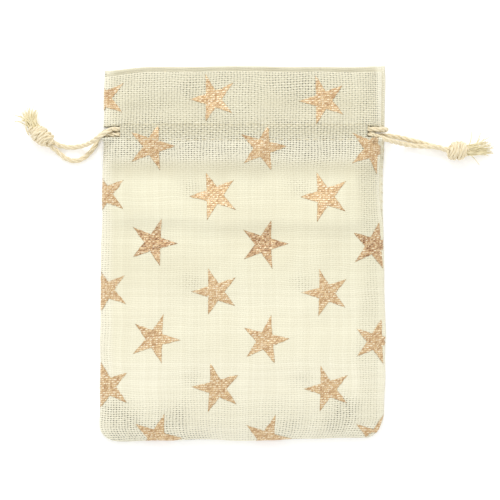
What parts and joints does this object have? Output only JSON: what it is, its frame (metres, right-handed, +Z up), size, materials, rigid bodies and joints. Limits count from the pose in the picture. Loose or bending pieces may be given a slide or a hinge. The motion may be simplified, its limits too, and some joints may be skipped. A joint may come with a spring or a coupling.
{
  "type": "fabric gift sack",
  "caption": "Flat cotton gift pouch with a turned-in mouth, foil star print and two knotted drawcords that leave opposite sides",
  "frame": {"origin": "On the surface that the sack lies on, under the middle of the cloth", "axes": "X across the sack, Y from the bottom fold toward the mouth, Z up from the surface; the sack lies on its back"},
  "size_m": [0.1678, 0.131, 0.0113],
  "materials": {
    "cloth": "open plain-weave unbleached cotton",
    "facing": "the same cloth in a double layer, so it looks denser",
    "cord": "three-ply twisted cotton cord",
    "thread": "matt sewing thread",
    "foil": "matt rose-gold transfer foil pressed on the cloth"
  },
  "bodies": {
    "root": {"back_panel": "cloth", "back_facing": "facing", "front_panel": "cloth", "front_casing": "cloth", "front_facing": "facing", "left_seam_allowance": "facing", "right_seam_allowance": "facing", "front_casing_stitches": "thread", "back_casing_stitches": "thread", "left_side_stitches": "thread", "right_side_stitches": "thread"},
    "front_lip": {"front_lip": "cloth"},
    "left_drawcord": {"left_cord": "cord", "left_knot": "cord", "left_tassel": "cord"},
    "right_drawcord": {"right_cord": "cord", "right_knot": "cord", "right_tassel": "cord"}
  },
  "joints": [
    {"name": "lip_fold", "type": "hinge", "parent": "root", "child": "front_lip", "pos_m": [0, 0.0463, 0.00825], "axis": [1, 0, 0], "range_deg": [0, 90]},
    {"name": "left_cord_pull", "type": "slide", "parent": "root", "child": "left_drawcord", "axis": [-1, 0, 0], "range_m": [0, 0.003]},
    {"name": "right_cord_pull", "type": "slide", "parent": "root", "child": "right_drawcord", "axis": [1, 0, 0], "range_m": [0, 0.003]}
  ]
}
